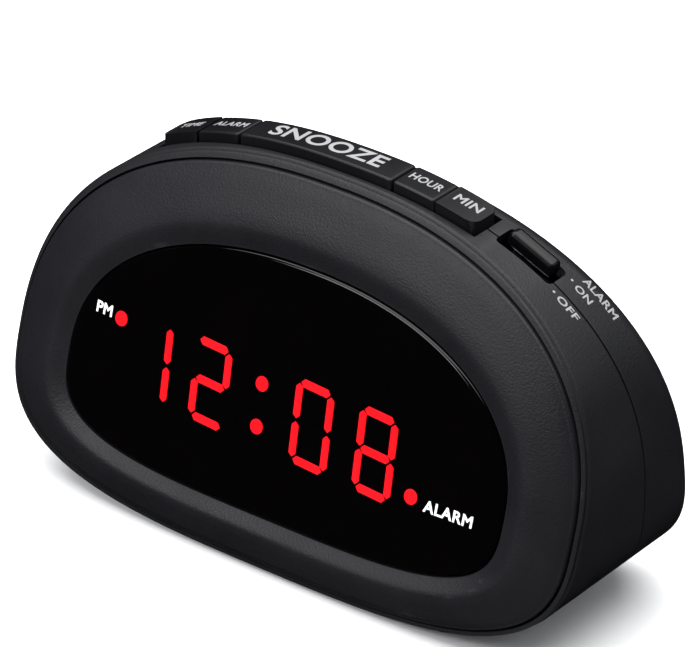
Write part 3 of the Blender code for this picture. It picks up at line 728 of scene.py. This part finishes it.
def flat_bar(bm, start, end, around):
    """One lit bar with pointed ends, laid on the lens's face."""
    a, b = Vector(start), Vector(end)
    along = (b - a).normalized()
    side = Vector((-along.y, along.x)) * BAR_HALF
    a, b = a + along * BAR_GAP, b - along * BAR_GAP
    tip = along * BAR_HALF * BAR_POINT
    outline = [a, a + tip - side, b - tip - side, b, b - tip + side, a + tip + side]
    middle = (a + b) / 2
    rings = []
    for share, rise in ((1.0, LIT_FOOT), (1.0, LIT_SHOULDER), (0.93, LIT_TOP)):
        ring = []
        for p in outline:
            q = middle + (p - middle) * share
            ring.append(bm.verts.new(around @ Vector((q.x * MM, q.y * MM, (LENS_FACE + rise) * MM))))
        rings.append(ring)
    bm.faces.new(rings[0])
    bm.faces.new(rings[-1])
    for low, high in zip(rings, rings[1:]):
        for i in range(6):
            j = (i + 1) % 6
            bm.faces.new((low[i], low[j], high[j], high[i]))


def digit_bars(centre, level, letters):
    corners = {}
    for row in (-1, 0, 1):
        for side in (-1, 1):
            x = centre + side * DIGIT_HALF_WIDTH + row * DIGIT_HALF_HEIGHT * DIGIT_SLANT
            y = level + row * DIGIT_HALF_HEIGHT + side * DIGIT_HALF_WIDTH * DIGIT_TILT
            corners[side, row] = (x, y)
    bars = {
        "a": ((-1, 1), (1, 1)), "b": ((1, 1), (1, 0)), "c": ((1, 0), (1, -1)), "d": ((-1, -1), (1, -1)),
        "e": ((-1, 0), (-1, -1)), "f": ((-1, 1), (-1, 0)), "g": ((-1, 0), (1, 0)),
    }
    return [(corners[bars[letter][0]], corners[bars[letter][1]]) for letter in letters]


def lit_display():
    around = front_frame()
    for index, (centre, level, letters) in enumerate(DIGITS, 1):
        bm = bmesh.new()
        for start, end in digit_bars(centre, level, letters):
            flat_bar(bm, start, end, around)
        digit = add_piece(f"lit_digit_{index}", mesh_from(bm, "digit"), LIT)
        settle(digit, "case")
    for index, (x, level) in enumerate(DOTS, 1):
        profile = [(DOT_RADIUS, LIT_FOOT), (DOT_RADIUS, LIT_SHOULDER), (DOT_RADIUS - 0.08, LIT_TOP)]
        dot = turned(profile, (x, level, LENS_FACE), around, 40)
        dot.name = f"lit_dot_{index}"
        carve(dot, [], [], LIT)
        settle(dot, "case")


def label(name, text, width, height, place, body, surface):
    """Printed lettering stretched to its size and laid on a surface: place maps (x, y, rise) to a point."""
    curve = bpy.data.curves.new(name, "FONT")
    curve.body = text
    curve.size = 1.0
    curve.extrude = 0.01
    curve.resolution_u = 6
    curve.space_character = PRINT_SPACING
    curve.bevel_depth = PRINT_WEIGHT
    curve.bevel_resolution = 0
    writing = bpy.data.objects.new(name, curve)
    collection.objects.link(writing)
    mesh = evaluated_mesh(writing)
    bpy.data.objects.remove(writing, do_unlink=True)
    low = [min(v.co[k] for v in mesh.vertices) for k in range(2)]
    high = [max(v.co[k] for v in mesh.vertices) for k in range(2)]
    for v in mesh.vertices:
        x = ((v.co.x - low[0]) / (high[0] - low[0]) - 0.5) * width
        y = ((v.co.y - low[1]) / (high[1] - low[1]) - 0.5) * height
        v.co = place(x, y, PRINT_RISE + v.co.z) * MM
    bm = bmesh.new()
    bm.from_mesh(mesh)
    bmesh.ops.remove_doubles(bm, verts=bm.verts, dist=1e-7)
    bmesh.ops.recalc_face_normals(bm, faces=bm.faces)
    bm.to_mesh(mesh)
    bm.free()
    writing = add_piece(name, mesh, surface, 30.0)
    return settle(writing, body)


def on_arch(x_middle, distance, proud):
    """Places print on the case's arch, or on an arch standing proud of it."""

    def place(x, y, rise):
        spot = x_middle + x
        step = 0.05
        slope = (case_top(spot + step, proud) - case_top(spot - step, proud)) / (2 * step)
        normal = Vector((-slope, 0, 1)).normalized()
        return Vector((spot, depth(distance + y), case_top(spot, proud))) + normal * rise

    return place


def on_lens(x_middle, level, tilt=0.0):
    around = front_frame()

    def place(x, y, rise):
        point = Vector(((x_middle + x) * MM, (level + y + tilt * x) * MM, (LENS_FACE + rise) * MM))
        return (around @ point) / MM

    return place


def prints():
    labels = (
        ("time_print", "TIME", 0, 5.2, 1.8, 27.4),
        ("alarm_print", "ALARM", 1, 7.4, 1.85, 27.4),
        ("snooze_print", "SNOOZE", 2, 25.4, 4.2, 27.5),
        ("hour_print", "HOUR", 3, 7.0, 2.1, 27.5),
        ("minute_print", "MIN", 4, 5.6, 2.3, 27.7),
    )
    for name, text, index, width, height, distance in labels:
        middle = (BUTTON_EDGES[index] + BUTTON_EDGES[index + 1]) / 2
        place = on_arch(middle, distance, BUTTON_PROUD)
        label(name, text, width, height, place, BUTTON_NAMES[index], PRINT)
    side = (
        ("off_print", "OFF", 48.4, 25.3, 4.3, 1.6), ("on_print", "ON", 48.0, 30.5, 3.3, 1.6),
        ("switch_print", "ALARM", 49.7, 33.3, 7.0, 1.7),
    )
    for name, text, x, distance, width, height in side:
        label(name, text, width, height, on_arch(x, distance, 0.0), "case", PRINT)
    for index, distance in enumerate((25.4, 30.8), 1):
        place = on_arch(45.25, distance, 0.0)
        label(f"position_dot_{index}", ".", 0.5, 0.5, place, "case", PRINT)
    # The PM and ALARM marks use the white print with its painted glow.
    label("pm_print", "PM", 3.7, 2.2, on_lens(-43.35, 36.15, -0.03), "case", WHITE_PRINT_PAINTED_GLOW)
    label("alarm_mark", "ALARM", 10.7, 2.2, on_lens(38.65, 23.8, 0.03), "case", WHITE_PRINT_PAINTED_GLOW)


# ---------------------------------------------------------------- studio


def floor():
    bm = bmesh.new()
    bmesh.ops.create_grid(bm, x_segments=24, y_segments=24, size=4.0)
    sheet = add_piece("studio_floor", mesh_from(bm, "studio_floor"))
    paper = bpy.data.materials.new("floor_paper")
    paper.use_nodes = True
    tree = paper.node_tree
    shader = tree.nodes["Principled BSDF"]
    shader.inputs["Roughness"].default_value = 0.9
    shader.inputs["Specular IOR Level"].default_value = 0.1
    where = node(tree, "ShaderNodeTexCoord").outputs["Object"]
    share = spread(tree, noise(tree, where, 30.0), 0.0, 1.0)
    tone = mix_colour(tree, share, (0.90, 0.90, 0.90), (0.93, 0.93, 0.93))
    tree.links.new(tone, shader.inputs["Base Color"])
    sheet.data.materials.append(paper)
    sheet.location = (0.0, 0.0, -0.00005)
    sheet.visible_glossy = False


def area_light(name, place, aim, size, power, colour=(1.0, 1.0, 1.0)):
    data = bpy.data.lights.new(name, "AREA")
    data.shape = "RECTANGLE"
    data.size, data.size_y = size
    data.energy = power
    data.color = colour
    lamp = bpy.data.objects.new(name, data)
    collection.objects.link(lamp)
    lamp.location = place
    lamp.rotation_euler = (Vector(aim) - Vector(place)).to_track_quat("-Z", "Y").to_euler()


def studio():
    world = bpy.data.worlds.new("studio_world")
    world.use_nodes = True
    world.node_tree.nodes["Background"].inputs["Color"].default_value = (0.95, 0.97, 1.0, 1.0)
    world.node_tree.nodes["Background"].inputs["Strength"].default_value = 0.42
    world.cycles_visibility.glossy = False
    bpy.context.scene.world = world
    area_light("overhead", (-0.10, 0.12, 1.1), (0, 0, 0), (1.8, 1.3), 38.0)
    area_light("front_box", (-0.42, -0.85, 0.66), (0, 0, 0.04), (0.5, 0.35), 6.0, (0.97, 0.97, 1.0))
    area_light("back_right", (0.80, 0.70, 0.75), (0, 0, 0.04), (0.4, 0.25), 1.2, (0.93, 0.96, 1.0))
    settings = bpy.context.scene.view_settings
    settings.view_transform = "Standard"
    settings.look = "None"


VIEW_AZIMUTH, VIEW_ELEVATION = math.radians(38.1), math.radians(29.1)
VIEW_DISTANCE = 0.9091
FOCAL_SHARE = 7.256894
ANCHOR = Vector((0.0, -DEPTH_MIDDLE * MM, CASE_FLOOR * MM))
ANCHOR_RIGHT, ANCHOR_DOWN = -0.0162, 0.04856


def camera():
    azimuth, level = VIEW_AZIMUTH, math.cos(VIEW_ELEVATION)
    towards = Vector((math.sin(azimuth) * level, -math.cos(azimuth) * level, math.sin(VIEW_ELEVATION)))
    right = (-towards).cross(Vector((0, 0, 1))).normalized()
    up = right.cross(-towards)
    place = ANCHOR + towards * VIEW_DISTANCE
    place -= right * ANCHOR_RIGHT * VIEW_DISTANCE
    place += up * ANCHOR_DOWN * VIEW_DISTANCE
    data = bpy.data.cameras.new("photo_camera")
    data.sensor_width = 36.0
    data.lens = 36.0 * FOCAL_SHARE
    data.clip_start, data.clip_end = 0.05, 10.0
    eye = bpy.data.objects.new("photo_camera", data)
    collection.objects.link(eye)
    matrix = Matrix((right, up, towards)).transposed().to_4x4()
    matrix.translation = place
    eye.matrix_world = matrix
    bpy.context.scene.camera = eye


front_shell()
rear_shell()
bezel()
lens()
caps()
knob()
door()
feet()
screws()
bush()
lit_display()
prints()
floor()
studio()
camera()
